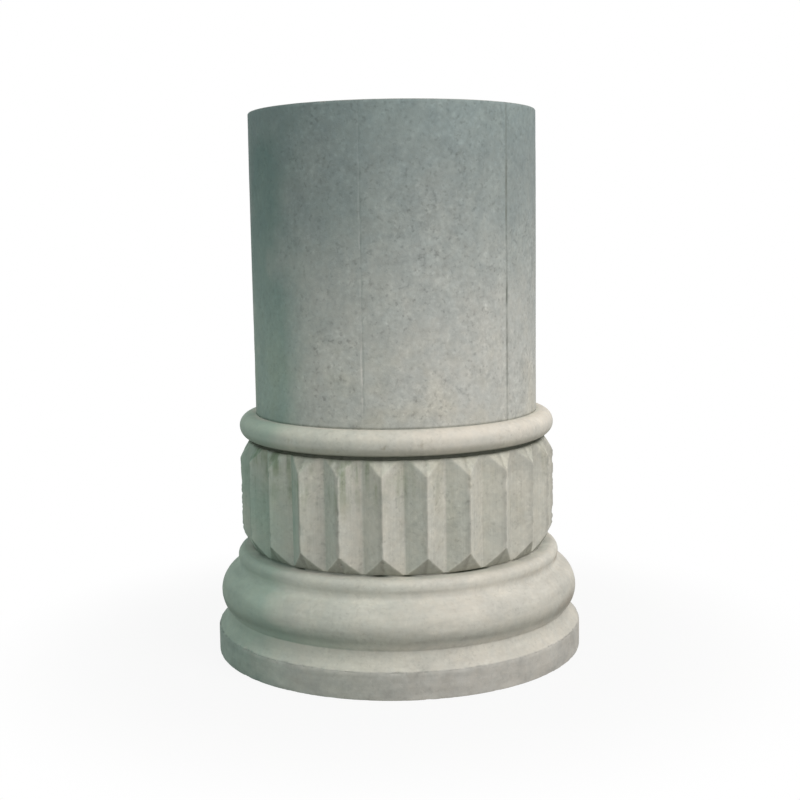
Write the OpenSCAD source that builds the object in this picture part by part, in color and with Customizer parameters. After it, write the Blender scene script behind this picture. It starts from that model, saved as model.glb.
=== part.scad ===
// Foot of a large round stone column: a moulded base, a ridged band, a half-round ring and the
// plain shaft. Each is one stone, and the stones stand on each other on flat beds.
// Millimetres, +Z up. The origin is the middle of the underside, and -Y is the front.
// Every moulding is set by how far it stands out from the face of the shaft.

/* [Shaft] */
// Diameter of the plain shaft
shaft_d = 1000; // [600:10:1600]
// Height of the shaft stone
shaft_h = 1039; // [400:1:3000]
// Number of upright joint lines round the shaft
seam_count = 6; // [2:1:12]
// Turn of the first joint line from the front, in degrees
seam_turn = -12; // [-90:1:90]
// Width of a joint line at the surface
seam_w = 4; // [2:0.5:10]
// Depth of a joint line
seam_depth = 3; // [1:0.5:10]

/* [Ring] */
// Height of the ring, which is also the thickness of its half-round edge
ring_h = 86; // [50:1:100]
// How far the ring stands out from the shaft
ring_out = 59.5; // [49:0.5:90]

/* [Ridged band] */
// How far the ridges stand out from the shaft
band_out = 62.5; // [50:0.5:90]
// Number of ridges round the band
ridge_count = 24; // [16:1:36]
// Turn of the first ridge from the front, in degrees
ridge_turn = -5; // [-15:0.5:15]
// Depth of the grooves between the ridges
groove_depth = 45; // [15:0.5:55]
// Height of the upright part of the ridges, between the bevels
ridge_h = 260; // [100:1:500]
// Height of the bevel at the top of the ridges
top_bevel_h = 54; // [20:1:80]
// Height of the bevel at the foot of the ridges
foot_bevel_h = 64; // [20:1:80]
// Lean of both bevels from upright, in degrees
bevel_lean = 33; // [20:1:42]

/* [Open joints] */
// Height of the open joint under the ring
ring_joint_h = 11; // [4:1:20]
// Height of the open joint under the band
band_joint_h = 5; // [3:1:12]
// How far the raised beds inside the open joints stand out from the shaft
bed_out = 5; // [0:1:8]

/* [Base] */
// How far the plinth stands out from the shaft
plinth_out = 153.5; // [125:0.5:190]
// Height of the upright edge of the plinth
plinth_h = 94; // [40:1:160]
// Height of the hollow sweep above the plinth
sweep_h = 56; // [40:1:80]
// Radius of the hollow sweep
sweep_r = 75; // [60:1:150]
// How far the quirk at the top of the sweep stands out from the shaft
quirk_out = 111.5; // [90:0.5:115]
// How far the torus stands out from the shaft
torus_out = 139.5; // [116:0.5:170]
// Radius of the torus
torus_r = 92; // [76:1:111]
// Height of the middle of the top roll above the middle of the torus
roll_rise = 124; // [100:1:150]
// How far the top roll stands out from the shaft
roll_out = 77; // [65:1:100]
// Radius of the top roll
roll_r = 28; // [23:1:34]
// Radius of the soft valley between the torus and the roll
valley_r = 22; // [18:1:40]

/* [Hidden] */
$fn = 96;
// how far a cut or a seated shape runs past the face that it meets
OVER = 1;
// how far two arcs that meet smoothly overlap, so that they cross instead of just touching
BITE = 0.02;

// radii from the axis
shaft_r = shaft_d / 2;
bed_r = shaft_r + bed_out;
ridge_r = shaft_r + band_out;
groove_r = ridge_r - groove_depth;
plinth_r = shaft_r + plinth_out;
quirk_r = shaft_r + quirk_out;
ring_mid_r = shaft_r + ring_out - ring_h / 2;

// middles of the round mouldings of the base, as [radius, height]
quirk = [quirk_r, plinth_h + sweep_h];
torus_mid_r = shaft_r + torus_out - torus_r;
torus_mid = [torus_mid_r, quirk.y + sqrt(torus_r ^ 2 - (quirk_r - torus_mid_r) ^ 2)];
roll_mid = [shaft_r + roll_out - roll_r, torus_mid.y + roll_rise];
valley_mid = touching_both(torus_mid, torus_r + valley_r, roll_mid, roll_r + valley_r);
sweep_mid = touching_both([plinth_r, plinth_h], sweep_r, quirk, sweep_r);

// heights of the beds, from the ground up
base_h = roll_mid.y + roll_r;
band_z = base_h + band_joint_h;
band_h = foot_bevel_h + ridge_h + top_bevel_h;
ring_z = band_z + band_h + ring_joint_h;
shaft_z = ring_z + ring_h;

// The point at distance ra from a and rb from b, on the outer side of the line that rises from a to b
function touching_both(a, ra, b, rb) =
    let (
        span = norm(b - a),
        up = (b - a) / span,
        out = [up.y, -up.x],
        along = (ra ^ 2 - rb ^ 2 + span ^ 2) / (2 * span)
    )
    a + up * along + out * sqrt(ra ^ 2 - along ^ 2);

// Turns a profile of radius and height round the axis
module turned() {
    rotate_extrude() children();
}

// Low drum of the plinth, drawn in above its edge by the hollow sweep, up to the quirk
module plinth_profile() {
    difference() {
        square([plinth_r, quirk.y + OVER]);
        translate(sweep_mid) circle(sweep_r);
    }
}

// Large torus, small roll above it and the soft valley that joins them
module torus_profile() {
    polygon([[0, plinth_h], [torus_mid.x, plinth_h], torus_mid, roll_mid, [0, roll_mid.y]]);
    translate(torus_mid) circle(torus_r);
    translate(roll_mid) circle(roll_r);
    translate([0, roll_mid.y]) square([roll_mid.x, roll_r - BITE]);
    difference() {
        polygon([torus_mid, valley_mid, roll_mid]);
        translate(valley_mid) circle(valley_r + BITE);
    }
}

// Moulded round base, with the raised bed that carries the band
module base() {
    color([0.70, 0.71, 0.66]) turned() {
        plinth_profile();
        torus_profile();
        square([bed_r, band_z]);
    }
}

// Outline of the band: pointed ridges with plain V grooves between them
module ridge_outline() {
    step = 360 / ridge_count;
    polygon([
        for (i = [0 : ridge_count - 1], half = [0, 1])
            let (r = half == 0 ? ridge_r : groove_r, a = ridge_turn + step * (i + half / 2))
            [r * sin(a), -r * cos(a)]
    ]);
}

// Drum that bevels the ridges at foot and top. Its cones run on a little past the ridges, so that
// they cross the arrises and its upright side stays clear of them
module bevel_drum() {
    foot_run = foot_bevel_h * tan(bevel_lean);
    top_run = top_bevel_h * tan(bevel_lean);
    past = OVER * tan(bevel_lean);
    turned() polygon([
        [0, 0],
        [ridge_r - foot_run, 0],
        [ridge_r + past, foot_bevel_h + OVER],
        [ridge_r + past, foot_bevel_h + ridge_h - OVER],
        [ridge_r - top_run, band_h],
        [0, band_h]
    ]);
}

// Ridged band, with the raised bed that carries the ring
module faceted_band() {
    color([0.65, 0.66, 0.61]) translate([0, 0, band_z]) {
        intersection() {
            linear_extrude(band_h) ridge_outline();
            bevel_drum();
        }
        cylinder(r = bed_r, h = band_h + ring_joint_h);
    }
}

// Plain ring with a half-round edge
module astragal_ring() {
    color([0.76, 0.75, 0.69]) translate([0, 0, ring_z]) turned() {
        square([ring_mid_r, ring_h]);
        translate([ring_mid_r, ring_h / 2]) circle(ring_h / 2);
    }
}

// One upright joint line: a V groove in the front of the shaft
module joint_line() {
    half_w = seam_w / 2 * (seam_depth + OVER) / seam_depth;
    translate([0, 0, -OVER]) linear_extrude(shaft_h + 2 * OVER) polygon([
        [0, -(shaft_r - seam_depth)],
        [-half_w, -(shaft_r + OVER)],
        [half_w, -(shaft_r + OVER)]
    ]);
}

// Plain round shaft, cut flat at the top
module shaft() {
    color([0.62, 0.64, 0.61]) translate([0, 0, shaft_z]) difference() {
        cylinder(r = shaft_r, h = shaft_h);
        for (i = [0 : seam_count - 1])
            rotate([0, 0, seam_turn + 360 / seam_count * i]) joint_line();
    }
}

base();
faceted_band();
astragal_ring();
shaft();
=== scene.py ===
import math

import bpy
from mathutils import Matrix, Vector


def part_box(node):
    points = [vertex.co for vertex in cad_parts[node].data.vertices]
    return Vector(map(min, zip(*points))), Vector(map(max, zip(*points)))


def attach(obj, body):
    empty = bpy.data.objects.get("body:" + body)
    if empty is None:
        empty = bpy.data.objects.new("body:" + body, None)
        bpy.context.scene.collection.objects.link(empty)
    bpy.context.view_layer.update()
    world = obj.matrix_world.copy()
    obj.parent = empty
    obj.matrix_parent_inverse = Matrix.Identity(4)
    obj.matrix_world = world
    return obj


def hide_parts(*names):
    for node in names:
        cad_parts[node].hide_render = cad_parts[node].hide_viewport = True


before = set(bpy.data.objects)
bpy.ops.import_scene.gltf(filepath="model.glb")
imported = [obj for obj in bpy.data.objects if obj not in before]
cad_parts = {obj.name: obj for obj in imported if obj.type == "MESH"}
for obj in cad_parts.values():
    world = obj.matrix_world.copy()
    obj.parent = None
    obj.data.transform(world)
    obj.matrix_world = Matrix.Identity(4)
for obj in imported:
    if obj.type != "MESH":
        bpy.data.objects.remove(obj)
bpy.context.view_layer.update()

# ---------------------------------------------------------------------------------------------
# Base: one big round stone, turned to a plinth, a hollow sweep, a large torus and a small roll,
# and rubbed smooth. It is pale and fine-grained, softly worn, and green with algae on its damp
# side, where painted shade also darkens it. Its colour carries painted light on its upward faces
# and painted shade under the torus and in the joint. Its raised bed carries the band, in mortar
# that has dropped out of the joint in places.
# ---------------------------------------------------------------------------------------------
MM = 0.001


class Wire:
    """One output of a node. Sums on it add Math nodes, and node() adds any other node."""

    def __init__(self, tree, socket=None):
        self.tree, self.socket = tree, socket

    def node(self, kind, settings=(), inputs=(), output=0):
        made = self.tree.nodes.new(kind)
        for name, value in dict(settings).items():
            setattr(made, name, value)
        for name, value in dict(inputs).items():
            if isinstance(value, Wire):
                self.tree.links.new(value.socket, made.inputs[name])
            else:
                made.inputs[name].default_value = value
        return Wire(self.tree, made.outputs[output])

    def math(self, operation, *values):
        return self.node("ShaderNodeMath", {"operation": operation}, enumerate(values))

    def __add__(self, other):
        return self.math("ADD", self, other)

    def __radd__(self, other):
        return self.math("ADD", other, self)

    def __sub__(self, other):
        return self.math("SUBTRACT", self, other)

    def __rsub__(self, other):
        return self.math("SUBTRACT", other, self)

    def __mul__(self, other):
        return self.math("MULTIPLY", self, other)

    def __rmul__(self, other):
        return self.math("MULTIPLY", other, self)

    def __truediv__(self, other):
        return self.math("DIVIDE", self, other)

    def __rtruediv__(self, other):
        return self.math("DIVIDE", other, self)

    def __neg__(self):
        return self.math("MULTIPLY", self, -1)

    def __mod__(self, other):
        return self.math("FLOORED_MODULO", self, other)

    def __abs__(self):
        return self.math("ABSOLUTE", self)

    def sin(self):
        return self.math("SINE", self)

    def cos(self):
        return self.math("COSINE", self)

    def floor(self):
        return self.math("FLOOR", self)

    def least(self, other):
        return self.math("MINIMUM", self, other)

    def least_soft(self, other, soft):
        """The lesser of two, rounded off where they are within a distance of each other"""
        return self.math("SMOOTH_MIN", self, other, soft)

    def most(self, other):
        return self.math("MAXIMUM", self, other)

    def ramp(self, low, high):
        """0 below low and 1 above high, with a smooth rise, or a fall where low is the higher"""
        sizes = {"Value": self, "From Min": low, "From Max": high}
        return self.node("ShaderNodeMapRange", {"interpolation_type": "SMOOTHSTEP"}, sizes)

    def parts(self):
        split = self.node("ShaderNodeSeparateXYZ", (), {0: self})
        return [Wire(self.tree, s) for s in split.socket.node.outputs]

    def vector(self, x, y, z):
        return self.node("ShaderNodeCombineXYZ", (), {0: x, 1: y, 2: z})

    def stretched(self, x, y, z):
        """This place, with each direction scaled by itself"""
        settings = {"operation": "MULTIPLY"}
        return self.node("ShaderNodeVectorMath", settings, {0: self, 1: (x, y, z)})

    def noise(self, scale, detail=2, seed=0, rough=0.5):
        settings = {"noise_dimensions": "4D"}
        sizes = {"Vector": self, "W": seed, "Scale": scale, "Detail": detail, "Roughness": rough}
        return self.node("ShaderNodeTexNoise", settings, sizes)

    def cells(self, scale):
        """Distance to the nearest of many scattered points, in cell widths"""
        return self.node("ShaderNodeTexVoronoi", (), {"Vector": self, "Scale": scale})

    def by_number(self):
        """A chance value from 0 to 1 that is the same wherever this number is the same"""
        settings = {"noise_dimensions": "1D"}
        return self.node("ShaderNodeTexWhiteNoise", settings, {"W": self})

    def mark(self, name):
        """What the mesh says of a place under this name"""
        settings = {"attribute_type": "GEOMETRY", "attribute_name": name}
        return self.node("ShaderNodeAttribute", settings, (), "Fac")

    def blend(self, one, other, share, way="MIX"):
        """One colour mixed with another by a share"""
        settings = {"data_type": "RGBA", "blend_type": way}
        return self.node("ShaderNodeMix", settings, {0: share, 6: one, 7: other}, 2)

    def times(self, one, other, share=1.0):
        """One colour multiplied by another, by a share"""
        return self.blend(one, other, share, "MULTIPLY")

    def level(self, colour, amount):
        """A colour made darker or lighter by an amount round 1"""
        return self.times(colour, self.vector(amount, amount, amount))


def touching_both(a, ra, b, rb):
    """The point at distance ra from a and rb from b, on the outer side of the line from a to b"""
    span = (b - a).length
    up = (b - a) / span
    along = (ra ** 2 - rb ** 2 + span ** 2) / (2 * span)
    return a + up * along + Vector((up.y, -up.x)) * math.sqrt(ra ** 2 - along ** 2)


def arc(middle, radius, start, end, count):
    """Points along an arc of a profile, from one angle to another, in degrees"""
    turns = [math.radians(start + (end - start) * i / count) for i in range(count + 1)]
    return [(middle.x + radius * math.cos(t), middle.y + radius * math.sin(t)) for t in turns]


def line(start, end, count):
    """Points along a straight stretch of a profile, without its first"""
    return [tuple(Vector(start).lerp(Vector(end), i / count)) for i in range(1, count + 1)]


def heading(middle, point):
    """Which way a point lies from a middle, in degrees"""
    return math.degrees(math.atan2(point.y - middle.y, point.x - middle.x))


def placed(name, data):
    """A new object in the scene"""
    made = bpy.data.objects.new(name, data)
    bpy.context.scene.collection.objects.link(made)
    return made


def turned_stone(name, profile, columns, sizes, finish, outline=None, spread=None):
    """A closed stone whose profile goes round the axis, its worn face let in by a smooth noise.
    Each profile row is (radius, height, share, worn, arris): share is how far the row follows the
    outline rule, worn is 1 on open faces and 0 on beds, and arris is 1 on an edge that chips. The
    spread rule sets how the columns crowd."""
    tree = bpy.data.node_groups.new(name, "GeometryNodeTree")
    face = tree.interface
    face.new_socket("Profile", in_out="INPUT", socket_type="NodeSocketGeometry")
    face.new_socket("Columns", in_out="INPUT", socket_type="NodeSocketInt")
    for size in sizes:
        face.new_socket(size, in_out="INPUT", socket_type="NodeSocketFloat")
    face.new_socket("Material", in_out="INPUT", socket_type="NodeSocketMaterial")
    face.new_socket("Stone", in_out="OUTPUT", socket_type="NodeSocketGeometry")
    w = Wire(tree)
    entry = tree.nodes.new("NodeGroupInput")
    of = {s.name: Wire(tree, s) for s in entry.outputs if s.name}

    # a sheet with one row for each profile point and one column for each step round the axis
    count = w.node("GeometryNodeAttributeDomainSize", (), {"Geometry": of["Profile"]})
    across = of["Columns"] + 1
    grid = {"Size X": 1.0, "Size Y": 1.0, "Vertices X": count, "Vertices Y": across}
    sheet = w.node("GeometryNodeMeshGrid", (), grid)
    index = w.node("GeometryNodeInputIndex")
    row = ((index + 0.5) / across).floor()
    column = index - row * across

    def of_row(kind, value):
        inputs = {"Geometry": of["Profile"], "Value": value, "Index": row}
        return w.node("GeometryNodeSampleIndex", {"data_type": kind}, inputs)

    def named(attribute):
        settings = {"data_type": "FLOAT"}
        return w.node("GeometryNodeInputNamedAttribute", settings, {"Name": attribute})

    radius, _, height = of_row("FLOAT_VECTOR", w.node("GeometryNodeInputPosition")).parts()
    kept = {a: of_row("FLOAT", named(a)) for a in ("share", "worn", "arris")}
    step = column / of["Columns"]
    angle = of["Turn"] + math.tau * (spread(step) if spread else step)
    if outline:
        followed, angle, marks = outline(w, of, radius, angle, height)
        radius = radius + kept["share"] * (followed - radius)
        kept["arris"] = kept["arris"].most(kept["worn"] * marks.pop("arris"))
        kept.update(marks)
    place = w.vector(radius * angle.sin(), -(radius * angle.cos()), height)
    body = w.node("GeometryNodeSetPosition", (), {"Geometry": sheet, "Position": place})
    for attribute in kept:
        if attribute != "share":
            inputs = {"Geometry": body, "Name": attribute, "Value": kept[attribute]}
            body = w.node("GeometryNodeStoreNamedAttribute", {"data_type": "FLOAT"}, inputs)
    sewn = 0.01 * MM
    body = w.node("GeometryNodeMergeByDistance", (), {"Geometry": body, "Distance": sewn})
    body = w.node("GeometryNodeFlipFaces", (), {"Mesh": body})

    # wear only ever takes stone away: a gentle unevenness, shallow losses and chipped arrises
    spot = w.node("GeometryNodeInputPosition")
    seed = of["Seed"]
    uneven = spot.noise(3.2, 2, seed).ramp(0.25, 0.75) * of["Unevenness"]
    dented = spot.noise(17.0, 3, seed + 3, 0.6).ramp(0.48, 0.8) * of["Dent depth"]
    bitten = spot.noise(30.0, 3, seed + 7, 0.65).ramp(0.45, 0.64)
    where = spot.noise(6.5, 2, seed + 9).ramp(0.36, 0.58)
    chipped = named("arris") * bitten * where * of["Chip depth"]
    rubbed = named("arris") * of["Rubbing"]
    all_over = 0.1 * MM
    gone = named("worn") * (all_over + uneven + dented + chipped + rubbed)
    inputs = {0: w.node("GeometryNodeInputNormal"), "Scale": -gone}
    inwards = w.node("ShaderNodeVectorMath", {"operation": "SCALE"}, inputs)
    body = w.node("GeometryNodeSetPosition", (), {"Geometry": body, "Offset": inwards})
    body = w.node("GeometryNodeSetShadeSmooth", (), {"Geometry": body})
    body = w.node("GeometryNodeRealizeInstances", (), {"Geometry": body})
    inputs = {"Geometry": body, "Material": of["Material"]}
    body = w.node("GeometryNodeSetMaterial", (), inputs)
    leave = tree.nodes.new("NodeGroupOutput")
    tree.links.new(body.socket, leave.inputs[0])

    # the profile is a line of points that carries its own marks
    points = bpy.data.meshes.new(name + "_profile")
    joined = [(i, i + 1) for i in range(len(profile) - 1)]
    points.from_pydata([(r, 0, z) for r, z, *_ in profile], joined, [])
    for column_in_row, attribute in ((2, "share"), (3, "worn"), (4, "arris")):
        layer = points.attributes.new(attribute, "FLOAT", "POINT")
        layer.data.foreach_set("value", [p[column_in_row] for p in profile])
    rough_piece = placed(name + "_turning", points)
    turning = rough_piece.modifiers.new("Turning", "NODES")
    turning.node_group = tree
    values = {"Columns": columns, "Material": finish, **sizes}
    for item in face.items_tree:
        if item.item_type == "SOCKET" and item.in_out == "INPUT" and item.name in values:
            turning[item.identifier] = values[item.name]
    bpy.context.view_layer.update()
    seen = rough_piece.evaluated_get(bpy.context.evaluated_depsgraph_get())
    mesh = bpy.data.meshes.new_from_object(seen)
    mesh.name = name
    rough_piece.modifiers.clear()
    bpy.data.objects.remove(rough_piece)
    return placed(name, mesh)


def paint(red, green, blue):
    """A colour, from 0 to 255, as the light that it gives back"""
    given = [v / 255 for v in (red, green, blue)]
    return (*[v / 12.92 if v <= 0.04045 else ((v + 0.055) / 1.055) ** 2.4 for v in given], 1)


def stone_material(name, rule, grain=1.0, speckle=1.0):
    """A dull stone. The rule gives its stained colour, with painted light on upward faces and
    painted shade under them, how much algae it carries, with painted shade on its damp side, and
    its grime and the painted shade in its joints. This adds the speckle, the algae with its painted
    shade, the grime and painted shade, and a bump of grains and small pits."""
    material = bpy.data.materials.new(name)
    material.use_nodes = True
    tree = material.node_tree
    tree.nodes.clear()
    w = Wire(tree)
    place = w.node("ShaderNodeTexCoord", (), (), 3)
    x, y, z = place.parts()
    around = w.math("SQRT", x * x + y * y)
    out_x, out_y, facing = w.node("ShaderNodeNewGeometry", (), (), "Normal").parts()
    # the damp side faces away from the light, so its algae tint also paints shade there
    damp = math.radians(-95)
    level = w.math("SQRT", out_x * out_x + out_y * out_y).most(0.2)
    towards = (out_x * math.sin(damp) - out_y * math.cos(damp)) / level
    side = (x * math.sin(damp) - y * math.cos(damp)) / around.most(10 * MM)
    grains = place.noise(330.0, 2, 1, 0.6)
    mottle = place.noise(62.0, 2, 2)
    blotch = place.noise(21.0, 3, 3, 0.6)
    cloud = place.noise(4.2, 4, 4, 0.6)
    flecked = place.noise(26.0, 2, 5).ramp(0.38, 0.56)
    flecks = place.noise(78.0, 1, 15).ramp(0.52, 0.74) * flecked
    pale_flecks = place.noise(66.0, 1, 16).ramp(0.52, 0.76)
    surface = {"place": place, "x": x, "y": y, "z": z, "around": around, "facing": facing,
               "towards": towards, "side": side, "blotch": blotch, "cloud": cloud}
    colour, algae_and_shade, (dirt_and_shade, dirt_and_shade_share) = rule(w, surface)
    patches = place.noise(9.0, 3, 6, 0.6)
    clumps = place.noise(5.5, 2, 28).ramp(0.30, 0.70)
    speckle = speckle * (0.65 + 0.6 * clumps) * (1 - 0.45 * algae_and_shade.ramp(0.25, 0.8))
    tone = 1 + speckle * (0.10 * (grains - 0.5) + 0.58 * (mottle - 0.5) + 0.62 * (blotch - 0.5))
    tone = (tone + 0.26 * (patches - 0.5)) * (0.92 + 0.16 * cloud)
    tone = tone * (1 - 0.30 * speckle * flecks) * (1 + 0.16 * speckle * pale_flecks)
    colour = w.level(colour, tone)
    hue = (0.6 * patches + 0.4 * place.noise(38.0, 2, 7)).ramp(0.38, 0.62)
    cooler, warmer, green = (0.988, 1.0, 1.006, 1), (1.012, 1.0, 0.984, 1), (0.52, 0.70, 0.66, 1)
    colour = w.times(colour, w.blend(cooler, warmer, hue))
    # the algae tint is partly algae and partly painted shade on the side away from the light
    colour = w.times(colour, green, algae_and_shade * (0.55 + 0.9 * cloud))
    # grime in the joint lines, and painted shade in the joints and under parts
    colour = w.blend(colour, dirt_and_shade, dirt_and_shade_share)
    pits = place.cells(85.0).ramp(0.05, 0.28) * 0.7 + 0.3 * place.cells(210.0).ramp(0.05, 0.3)
    relief = grains * 0.30 + mottle * 0.55 + blotch * 0.8 + pits * 0.45
    sizes = {"Strength": 0.6 * grain, "Distance": 1.8 * MM, "Height": relief}
    bump = w.node("ShaderNodeBump", (), sizes)
    inputs = {"Base Color": colour, "Roughness": 0.80 + 0.16 * mottle, "Normal": bump,
              "IOR": 1.45, "Specular IOR Level": 0.3}
    shader = w.node("ShaderNodeBsdfPrincipled", (), inputs)
    end = tree.nodes.new("ShaderNodeOutputMaterial")
    tree.links.new(shader.socket, end.inputs["Surface"])
    return material


def green_side(m, veil=0.4, patch=0.6):
    """How much algae the damp side carries, with painted shade on it, since that side faces away
    from
    the light: a thin veil over half of it, patches of more in its middle, and more again low down,
    where it stays wet"""
    thin = m["towards"].ramp(-0.5, 0.5)
    middle = m["side"].ramp(0.40, 0.85) * m["y"].ramp(0.32, -0.12)
    patches = m["place"].noise(3.1, 3, 9, 0.6).ramp(0.34, 0.62)
    low = m["towards"].ramp(0.55, 1.0) * m["z"].ramp(1.35, 0.95)
    return veil * thin + patch * middle * (0.45 + 0.65 * patches) + 0.45 * low


def base_colour(w, m):
    """Paler on upward faces as painted light from above, greyer on the plinth's edge, painted shade
    and damp green under the torus, paler in the valley and the quirk as painted light, and painted
    shade in the open joint under the band
    """
    top_lit_pale, upright, plinth = paint(200, 196, 186), paint(190, 187, 177), paint(179, 176, 169)
    valley_light_pale, painted_shade_grey, brown = paint(214, 210, 200), paint(157, 156, 146), paint(150, 138, 124)
    painted_joint_shade = paint(82, 88, 74)
    # upward faces take a paler colour: painted light from above
    colour = w.blend(upright, top_lit_pale, m["facing"].ramp(0.1, 0.7))
    # painted shade on the faces under the torus
    under = m["facing"].ramp(0.20, -0.45) * m["z"].ramp(torus_mid.y + 30 * MM, torus_mid.y)
    colour = w.blend(colour, painted_shade_grey, under)
    on_plinth = m["z"].ramp(plinth_h + 2 * MM, plinth_h - 3 * MM)
    # painted light in the valley between torus and roll, which lifts its shade
    valley_light = abs(m["z"] - valley_mid.y).ramp(38 * MM, 0.0)
    colour = w.blend(colour, valley_light_pale, 0.45 * valley_light)
    rusty = m["x"].ramp(0.36, 0.60) * m["facing"].ramp(0.35, -0.3) * (1 - on_plinth)
    colour = w.blend(colour, brown, 0.75 * rusty * m["place"].noise(5.0, 2, 17).ramp(0.35, 0.60))
    coarse = m["place"].noise(13.0, 3, 14, 0.65)
    colour = w.blend(colour, w.level(plinth, 1 + 0.7 * (coarse - 0.5)), on_plinth)
    smears = m["place"].stretched(1, 1, 6).noise(5.0, 3, 13, 0.6)
    colour = w.level(colour, 1 + 0.50 * (smears - 0.5))
    # painted light in the quirk under the torus, which lifts its shade
    quirk_light = abs(m["z"] - quirk.y - 4 * MM).ramp(34 * MM, 4 * MM)
    colour = w.blend(colour, top_lit_pale, 0.8 * quirk_light * (0.6 + 0.6 * m["blotch"]))
    # painted shade on the ledge and bed in the open joint under the band: grey, and black where the
    # mortar has dropped out
    ledge_shade = m["z"].ramp(band_z - 8 * MM, band_z - 5 * MM)
    ledge_shade = ledge_shade * m["around"].ramp(shaft_r + 24 * MM, shaft_r + 10 * MM)
    colour = w.blend(colour, painted_shade_grey, ledge_shade)
    # algae, with painted shade, on the damp side and under the torus
    algae_and_shade = green_side(m) + 0.5 * under * m["towards"].ramp(-0.2, 0.7)
    return colour, algae_and_shade, (painted_joint_shade, ledge_shade * (1 - w.mark("mortar")))


base_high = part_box("base")[1]
shaft_r = round(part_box("shaft")[1].x, 4)
plinth_r = round(base_high.x, 4)
band_z = base_high.z
plinth_h, sweep_h, sweep_r = 94 * MM, 56 * MM, 75 * MM
quirk_r = shaft_r + 111.5 * MM
torus_out, torus_r = 139.5 * MM, 92 * MM
roll_rise, roll_out, roll_r, valley_r = 124 * MM, 77 * MM, 28 * MM, 22 * MM
bed_r = shaft_r + 5 * MM
foot_arris_r = 2 * MM

edge = Vector((plinth_r, plinth_h))
quirk = Vector((quirk_r, plinth_h + sweep_h))
torus_x = shaft_r + torus_out - torus_r
torus_mid = Vector((torus_x, quirk.y + math.sqrt(torus_r ** 2 - (quirk_r - torus_x) ** 2)))
roll_mid = Vector((shaft_r + roll_out - roll_r, torus_mid.y + roll_rise))
valley_mid = touching_both(torus_mid, torus_r + valley_r, roll_mid, roll_r + valley_r)
sweep_mid = touching_both(edge, sweep_r, quirk, sweep_r)
ledge_z = roll_mid.y + roll_r

# rows of the profile from the middle of the underside, round the outside, to the middle of the bed
bed_rings = (0.45, 0.25, 0)
rows = [(r, 0, 0, 0, 0) for r in (0, 0.25, 0.45, 0.58, 0.63, 0.646)]
foot = Vector((plinth_r - foot_arris_r, foot_arris_r))
rows += [(r, z, 0, 0.4, 0.5) for r, z in arc(foot, foot_arris_r, -90, 0, 3)]
upright = line((plinth_r, foot_arris_r), (plinth_r, plinth_h - 9 * MM), 14)
rows += [(r, z, 0, 1, 0) for r, z in upright]
rows += [(plinth_r, plinth_h - below * MM, 0, 1, 1 - below / 10) for below in (6, 4, 2)]
sweep = arc(sweep_mid, sweep_r, heading(sweep_mid, edge), heading(sweep_mid, quirk), 24)
rows += [(r, z, 0, 1, max(0, 1 - i / 4)) for i, (r, z) in enumerate(sweep)]
torus = arc(torus_mid, torus_r, heading(torus_mid, quirk), heading(torus_mid, valley_mid), 44)
start, stop = heading(valley_mid, torus_mid) % 360, heading(valley_mid, roll_mid) % 360
valley = arc(valley_mid, valley_r, start, stop, 8)
roll = arc(roll_mid, roll_r, heading(roll_mid, valley_mid), 90, 20)
rows += [(r, z, 0, 1, 0) for r, z in torus[1:] + valley[1:] + roll[1:]]
rows += [(shaft_r + out * MM, ledge_z, 0, 0.4, 0) for out in (38, 27, 19)]
rows += [(bed_r, z, 1, 0, 0) for z in (ledge_z, band_z)]
rows += [(r, band_z, 0, 0, 0) for r in bed_rings]


def bedding(w, of, radius, angle, height):
    """Bedding mortar, which fills the open joint in places and has dropped out in others"""
    round_about = w.vector(angle.sin() * 2.5, angle.cos() * 2.5, 0)
    mortar = round_about.noise(1.7, 2, 12).ramp(0.33, 0.47)
    return radius + mortar * of["Mortar"], angle, {"arris": 0, "mortar": mortar}


common = {"Turn": 0.0, "Seed": 1.0, "Unevenness": 1.0 * MM, "Dent depth": 1.3 * MM,
          "Chip depth": 6 * MM, "Rubbing": 2.5 * MM}
base_stone = stone_material("base_stone", base_colour, speckle=0.33)
base = turned_stone("base_body", rows, 720, {**common, "Mortar": 11 * MM}, base_stone, bedding)
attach(base, "root")
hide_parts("base")

# ---------------------------------------------------------------------------------------------
# Band: one stone drum, cut by hand into twenty-four upright ridges with plain V grooves between
# them, and bevelled at head and foot so that each ridge ends in a point. It stands on the base
# with an open joint round it, and a raised bed on its top leaves another below the ring.
# ---------------------------------------------------------------------------------------------
ring_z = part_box("faceted_band")[1].z
ridge_count, ridge_turn = 24, -5.0
ridge_r, groove_depth = shaft_r + 62.5 * MM, 45 * MM
ridge_h, top_bevel_h, foot_bevel_h, bevel_lean = 260 * MM, 54 * MM, 64 * MM, 33.0
ridge_foot, ridge_head = band_z + foot_bevel_h, band_z + foot_bevel_h + ridge_h
band_top = ridge_head + top_bevel_h


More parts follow.
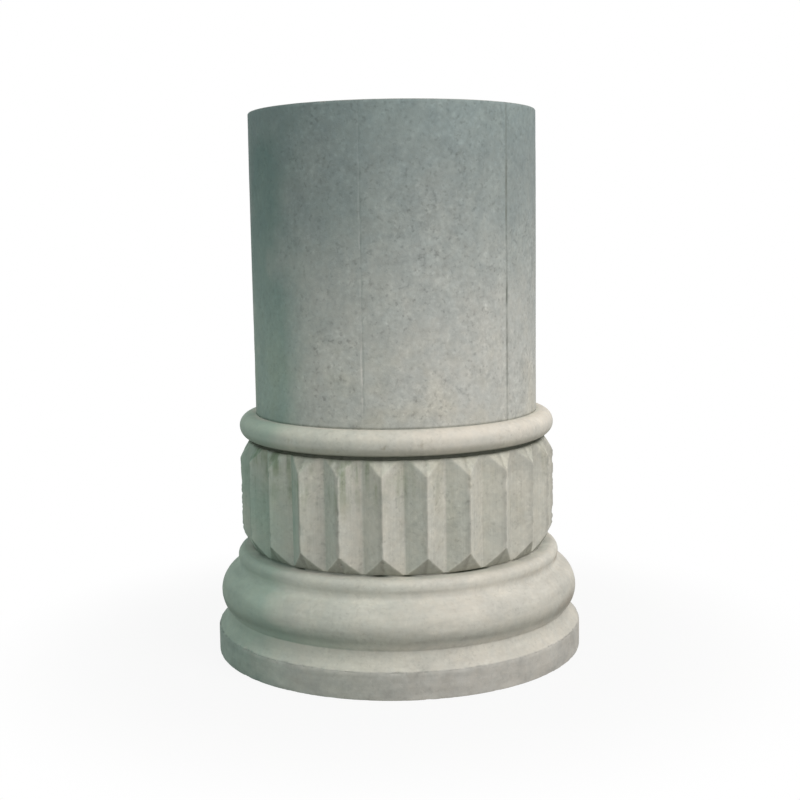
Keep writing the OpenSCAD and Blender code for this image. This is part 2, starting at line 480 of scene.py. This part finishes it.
def ridges(w, of, radius, angle, height):
    """Flat flanks from ridge to groove, held inside the cones of the two bevels, with each ridge
    cut back a little by hand. The marks are the arrises, the side of each that takes painted shade
    and the side that takes a painted highlight, and the edges of the bevels."""
    step = math.tau / ridge_count
    half = step / 2
    place = (angle - of["Turn"]) / step + 0.5
    which = place.floor() % ridge_count
    along = place - place.floor() - 0.5
    away = abs(along) * step

    def cut_back(seed):
        return of["Ridge radius"] - (which + seed).by_number() * of["Hand"]

    top = cut_back(10.5)
    groove = of["Ridge radius"] - of["Groove depth"]
    flank = top * groove * math.sin(half) / (groove * (half - away).sin() + top * away.sin())
    slope = math.tan(math.radians(bevel_lean))
    head = cut_back(20.5) - (height - of["Head"]) * slope
    toe = cut_back(30.5) - (of["Foot"] - height) * slope
    bevel = head.least_soft(toe, 2 * MM)
    followed = flank.least_soft(bevel, 3 * MM)
    sway = w.vector(which * 7, height * 9, 0).noise(1.0, 1, 4) - 0.5
    angle = angle + sway * (1 - 4 * along * along) * of["Sway"]
    on_ridge = (away * of["Ridge radius"]).ramp(10 * MM, 0.0)
    on_bevel = abs(flank - bevel).ramp(6 * MM, 0.0)
    beside = along * step * of["Ridge radius"]
    # marks for painted shade on the shaded side and a painted highlight on the lit side of each
    # ridge
    lee = beside.ramp(-22 * MM, -1 * MM) * beside.ramp(3 * MM, -2 * MM)
    crest = beside.ramp(-1 * MM, 4 * MM) * beside.ramp(28 * MM, 5 * MM)
    arris = on_ridge.most(0.15 * on_bevel)
    return followed, angle, {"arris": arris, "lee": lee, "crest": crest, "bevelled": on_bevel}


# a share below 1 draws a row in from the ridged outline towards the middle or the bed
rows = [(0, band_z, share, 0, 0) for share in (0, 0.5, 0.85, 0.97)]
rows.append((0, band_z, 1, 0.5, 0.5))
stretches = (band_z, foot_bevel_h, 22), (ridge_foot, ridge_h, 48), (ridge_head, top_bevel_h, 20)
for z, rise, count in stretches:
    rows += [(0, z + rise * i / count, 1, 1, 0) for i in range(1, count + 1)]
rows += [(bed_r, band_top, share, worn, 0) for share, worn in ((0.6, 0.5), (0.3, 0.5), (0, 0))]
rows += [(r, ring_z, 0, 0, 0) for r in (bed_r, *bed_rings)]

sizes = {**common, "Turn": math.radians(ridge_turn), "Seed": 2.0, "Ridge radius": ridge_r,
         "Groove depth": groove_depth, "Foot": ridge_foot, "Head": ridge_head,
         "Hand": 1.6 * MM, "Sway": 0.008, "Chip depth": 5 * MM, "Rubbing": 0.6 * MM}


def band_colour(w, m):
    """Warm grey, with painted light on the upper bevels and the lit side of each ridge, painted
    shade on the lower bevels, on the shaded side of each ridge and in the joints, and green and
    olive streaks from the joint above"""
    top_lit_pale, upright, toe = paint(196, 194, 182), paint(189, 187, 177), paint(160, 159, 148)
    green, olive, painted_joint_shade = paint(120, 136, 108), paint(150, 146, 122), paint(96, 103, 88)
    # painted light on upward faces, and painted shade on downward ones (toe)
    colour = w.blend(upright, top_lit_pale, m["facing"].ramp(0.1, 0.5))
    colour = w.blend(colour, toe, m["facing"].ramp(-0.1, -0.5))
    tooled = m["place"].stretched(1, 1, 0.03).noise(190.0, 2, 19, 0.6) - 0.5
    # lit side of each ridge paler as a painted highlight, lower bevel edges paler as partly wear
    # and partly painted highlight, and the shaded side darker as painted shade
    worn = 0.07 * w.mark("crest") + 0.10 * w.mark("bevelled") * m["facing"].ramp(0.3, -0.2)
    flank_shade = 0.24 * w.mark("lee") * (0.35 + 0.9 * m["place"].noise(11.0, 2, 20)).least(1.0)
    sooty = 0.12 * m["x"].ramp(0.20, 0.42) * m["z"].ramp(ridge_head - 40 * MM, ridge_head)
    colour = w.level(colour, (1 + worn - flank_shade) * (1 + 0.22 * tooled) * (1 - sooty))
    streaks = m["place"].stretched(1, 1, 0.12).noise(26.0, 3, 11, 0.6)
    fall = m["z"].ramp(ridge_foot, band_top)
    patch = m["place"].noise(7.0, 3, 12, 0.6)
    stained = streaks.ramp(0.46, 0.72) * (0.25 + 0.75 * fall) * patch.ramp(0.35, 0.6)
    colour = w.blend(colour, olive, 0.45 * stained)
    mossy = streaks.ramp(0.40, 0.6) * fall.ramp(0.30, 1.0) * m["x"].ramp(0.22, -0.25)
    colour = w.blend(colour, green, 0.66 * mossy * patch.ramp(0.40, 0.60))
    # painted shade in the slot under the ring, at the foot joint and on the raised beds
    head_shade = m["z"].ramp(band_top - 9 * MM, band_top - 1 * MM) * (0.5 + 0.6 * m["blotch"])
    foot_shade = m["z"].ramp(band_z + 14 * MM, band_z + 1 * MM)
    bed_shade = m["around"].ramp(shaft_r + 12 * MM, shaft_r + 8 * MM)
    dirt_and_shade = (0.7 * bed_shade).most(0.45 * head_shade).most(0.12 * foot_shade)
    return colour, green_side(m, 0.28), (painted_joint_shade, dirt_and_shade)


band_stone = stone_material("band_stone", band_colour, speckle=0.55)
band = turned_stone("band_body", rows, 768, sizes, band_stone, ridges)
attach(band, "root")
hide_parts("faceted_band")

# ---------------------------------------------------------------------------------------------
# Ring: one plain stone with a half-round edge, paler and smoother than its neighbours. It is
# turned, laid on the bed of the band, and carries the shaft.
# ---------------------------------------------------------------------------------------------
ring_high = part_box("astragal_ring")[1]
shaft_z = ring_high.z
edge_r = (shaft_z - ring_z) / 2
ring_mid = Vector((ring_high.x - edge_r, (shaft_z + ring_z) / 2))
rows = [(r, ring_z, 0, 0, 0) for r in (0, 0.25, 0.42, 0.495)]
bend_count = 44
bend = arc(ring_mid, edge_r, -90, 90, bend_count)
rows += [(r, z, 0, 1 if 0 < i < bend_count else 0.3, 0) for i, (r, z) in enumerate(bend)]
rows.append((shaft_r + 8 * MM, shaft_z, 0, 0.2, 0))
rows += [(r, shaft_z, 0, 0, 0) for r in (0.499, 0.42, 0.25, 0)]
sizes = {**common, "Seed": 3.0, "Unevenness": 0.8 * MM, "Dent depth": 0.8 * MM}


def ring_colour(w, m):
    """The palest and warmest of the stones, painted light above and painted shade below, streaked
    below, and black painted shade in the joint under it
    """
    top_lit_pale, upright, below = paint(209, 203, 192), paint(195, 191, 181), paint(174, 171, 159)
    painted_joint_shade, brown = paint(104, 109, 94), paint(150, 140, 120)
    # painted light on the upper half and painted shade on the lower half (below)
    colour = w.blend(upright, top_lit_pale, m["facing"].ramp(0.0, 0.6))
    colour = w.blend(colour, below, m["facing"].ramp(-0.1, -0.6))
    specks = m["place"].noise(19.0, 3, 27, 0.6).ramp(0.62, 0.74) * m["facing"].ramp(0.5, -0.2)
    colour = w.blend(colour, brown, 0.55 * specks)
    # painted shade on the underside by the slot, and a little where the shaft stands on the ring
    dirt_and_shade = (m["facing"].ramp(-0.74, -0.96) * (0.45 + 0.6 * m["blotch"])).least(1.0)
    under_shaft_shade = m["around"].ramp(shaft_r + 13 * MM, shaft_r + 3 * MM)
    joint = m["z"].ramp(shaft_z - 5 * MM, shaft_z) * under_shaft_shade
    return colour, green_side(m), (painted_joint_shade, dirt_and_shade.most(0.04 * joint))


ring_stone = stone_material("ring_stone", ring_colour, grain=0.7, speckle=0.4)
ring = turned_stone("ring_body", rows, 720, sizes, ring_stone)
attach(ring, "root")
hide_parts("astragal_ring")

# ---------------------------------------------------------------------------------------------
# Shaft: a plain round stone, grey and speckled, dressed smooth and sawn flat at its top bed. Six
# fine upright joint lines run its full height, and it is darker towards the top.
# ---------------------------------------------------------------------------------------------
shaft_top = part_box("shaft")[1].z
seam_count, seam_turn, seam_w, seam_depth = 6, -12.0, 3 * MM, 1.2 * MM
top_arris_r = 3 * MM


def joint_lines(w, of, radius, angle, height):
    """Upright V grooves that wander a little, and are more open on one side of the shaft. Each
    panel between two of them has a number of its own."""
    step = math.tau / seam_count
    place = (angle - of["Turn"]) / step
    which = place.floor() % seam_count
    away = abs(place - (place + 0.5).floor()) * step * shaft_r
    round_about = w.vector(angle.sin() * 2, angle.cos() * 2, height * 7)
    wander = (round_about.noise(1.0, 2, 6) - 0.5) * of["Wander"]
    broad = round_about.noise(4.0, 2, 8).ramp(0.35, 0.7)
    opened = angle.sin().ramp(-0.1, 0.6) * angle.cos().ramp(-0.7, 0.4)
    half = seam_w / 2 * (0.7 + 0.5 * broad + 0.5 * opened)
    deep = (1 - away / half).most(0)
    near = away.ramp(7 * MM, 1 * MM)
    panel = (which + 5.5).by_number()
    stained = away.ramp(8.5 * MM, 2 * MM) * opened
    marks = {"arris": near * 0.5, "joint": deep.most(stained), "panel": panel}
    return radius - deep * of["Joint depth"] * (0.4 + 0.6 * opened), angle + wander, marks


def gathered(step):
    """Columns crowd towards the joint lines, where the shape is finest"""
    turns = math.tau * seam_count
    return step - 0.85 / turns * (turns * step).sin()


wall_h, wall_count = shaft_top - top_arris_r - shaft_z, 120
rows = [(r, shaft_z, 0, 0, 0) for r in (0, 0.3, 0.47, 0.4955)]
rows.append((shaft_r, shaft_z, 1, 0, 0))
for i in range(1, wall_count + 1):
    rows.append((shaft_r, shaft_z + wall_h * i / wall_count, 1, 1, 0))
corner = Vector((shaft_r - top_arris_r, shaft_top - top_arris_r))
rows += [(r, z, 1, 1, 1) for r, z in arc(corner, top_arris_r, 0, 90, 3)[1:-1]]
rows.append((shaft_r - top_arris_r, shaft_top, 1, 0.2, 0))
rows += [(r, shaft_top, 0, 0, 0) for r in (0.4925, 0.47, 0.38, 0.2, 0)]
sizes = {**common, "Turn": math.radians(seam_turn), "Seed": 4.0, "Wander": 0.006,
         "Joint depth": seam_depth, "Chip depth": 4 * MM, "Rubbing": 0.3 * MM}


def shaft_colour(w, m):
    """Mid grey and speckled, darker towards the top, with grime in the joint lines, a little
    painted shade at the foot, and faint saw marks on the cleaner top bed"""
    lower_grey, dark, filling_and_shade = paint(180, 180, 174), paint(133, 141, 139), paint(104, 108, 100)
    brow, buff = (0.93, 0.97, 0.98, 1), (1.03, 1.0, 0.94, 1)
    streaks = m["place"].stretched(1, 1, 0.10).noise(16.0, 3, 21, 0.6)
    # darker and cooler towards the top
    top_darkening = (m["z"] + 0.22 * (streaks - 0.5) + 0.35 * (m["cloud"] - 0.5)).ramp(0.90, 1.75)
    colour = w.blend(lower_grey, dark, top_darkening)
    colour = w.times(colour, brow, m["z"].ramp(1.66, 1.88))
    colour = w.level(colour, 0.97 + 0.06 * w.mark("panel"))
    open_part = m["place"].stretched(1.5, 1.5, 1).noise(8.0, 2, 22).ramp(0.42, 0.62)
    open_part = 0.25 + 0.75 * open_part * m["z"].ramp(1.85, 1.55)
    joint = w.mark("joint") * (0.04 + 0.78 * open_part * m["x"].ramp(-0.1, 0.3))
    warm = m["place"].noise(6.0, 2, 23).ramp(0.45, 0.7) * m["z"].ramp(1.25, 0.95)
    colour = w.times(colour, buff, 0.8 * warm)
    # a little painted shade at the foot, against the ring
    foot_shade = m["z"].ramp(shaft_z + 9 * MM, shaft_z + 1 * MM)
    bed = m["facing"].ramp(0.6, 0.9)
    kerfs = m["place"].stretched(1, 14, 1).noise(7.0, 3, 24, 0.6)
    sawn = w.level(paint(166, 166, 158), 1 + 0.35 * (kerfs - 0.5))
    colour = w.blend(colour, sawn, bed)
    dirt_and_shade = joint.most(0.03 * foot_shade) * (1 - bed)
    return colour, green_side(m, 0.3, 0.8) * (1 - bed), (filling_and_shade, dirt_and_shade)


shaft_stone = stone_material("shaft_stone", shaft_colour, speckle=0.8)
shaft = turned_stone("shaft_body", rows, 648, sizes, shaft_stone, joint_lines, gathered)
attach(shaft, "root")
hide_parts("shaft")

# ---------------------------------------------------------------------------------------------
# Studio: a pale floor that keeps the shadow, soft light from the right and above, and a long
# lens a little above the middle of the column.
# ---------------------------------------------------------------------------------------------


def in_view(w):
    """1 for what is seen, straight or by gloss or through glass, and 0 for what only lights"""
    rays = w.node("ShaderNodeLightPath").socket.node.outputs
    straight, gloss, glass = [Wire(w.tree, rays[f"Is {way} Ray"])
                              for way in ("Camera", "Glossy", "Transmission")]
    return straight.most(gloss).most(glass)


floor_r, floor_sides = 9, 96
floor_mesh = bpy.data.meshes.new("studio_floor")
around = [math.tau * i / floor_sides for i in range(floor_sides)]
corners = [(floor_r * math.cos(a), floor_r * math.sin(a), 0) for a in around]
floor_mesh.from_pydata(corners, [], [range(floor_sides)])
floor = placed("studio_floor", floor_mesh)
floor_paint = bpy.data.materials.new("studio_floor")
floor_paint.use_nodes = True
floor_paint.node_tree.nodes.clear()
w = Wire(floor_paint.node_tree)
x, y, _ = w.node("ShaderNodeTexCoord", (), (), "Object").parts()
far_off = (x * x + y * y).ramp(0.6, 2.6)
pale = w.node("ShaderNodeBsdfDiffuse", (), {"Color": (0.55, 0.55, 0.54, 1)})
white = w.node("ShaderNodeEmission", (), {"Color": (1, 1, 1, 1), "Strength": 1.0})
share = in_view(w) * (0.90 + 0.10 * far_off)
surface = w.node("ShaderNodeMixShader", (), {0: share, 1: pale, 2: white})
end = w.tree.nodes.new("ShaderNodeOutputMaterial")
w.tree.links.new(surface.socket, end.inputs["Surface"])
floor_mesh.materials.append(floor_paint)

world = bpy.data.worlds.new("studio_world")
bpy.context.scene.world = world
world.use_nodes = True
world.node_tree.nodes.clear()
w = Wire(world.node_tree)
key_azimuth, key_rise = math.radians(46), math.radians(42)
key_aim, key_away = Vector((0, 0, 0.9)), 5.5
side, back, up = w.node("ShaderNodeTexCoord", (), (), "Generated").parts()
lean = side * math.sin(key_azimuth) - back * math.cos(key_azimuth)
sky = 0.68 + 0.17 * lean + 0.16 * up
seen = in_view(w)
strength = seen + (1 - seen) * sky
back_light = w.node("ShaderNodeBackground", (), {"Color": (1, 1, 1, 1), "Strength": strength})
end = w.tree.nodes.new("ShaderNodeOutputWorld")
w.tree.links.new(back_light.socket, end.inputs["Surface"])

key_data = bpy.data.lights.new("key", "AREA")
key_data.shape, key_data.size, key_data.energy = "DISK", 2.6, 110
key_data.color = (1.0, 0.985, 0.96)
key = placed("key", key_data)
level = math.cos(key_rise)
ahead = Vector((math.sin(key_azimuth) * level, -math.cos(key_azimuth) * level, math.sin(key_rise)))
key.location = key_aim + ahead * key_away
key.rotation_euler = ahead.to_track_quat("Z", "Y").to_euler()

camera_data = bpy.data.cameras.new("camera")
camera_data.lens, camera_data.sensor_width = 57.735, 36.0
camera = placed("camera", camera_data)
camera_at = (0.0145, -4.565, 1.473)
camera_tilt, camera_roll = math.radians(82.58), math.radians(-0.88)
turn = Matrix.Rotation(camera_tilt, 4, "X") @ Matrix.Rotation(camera_roll, 4, "Z")
camera.matrix_world = Matrix.Translation(camera_at) @ turn
bpy.context.scene.camera = camera
bpy.context.scene.view_settings.view_transform = "Standard"
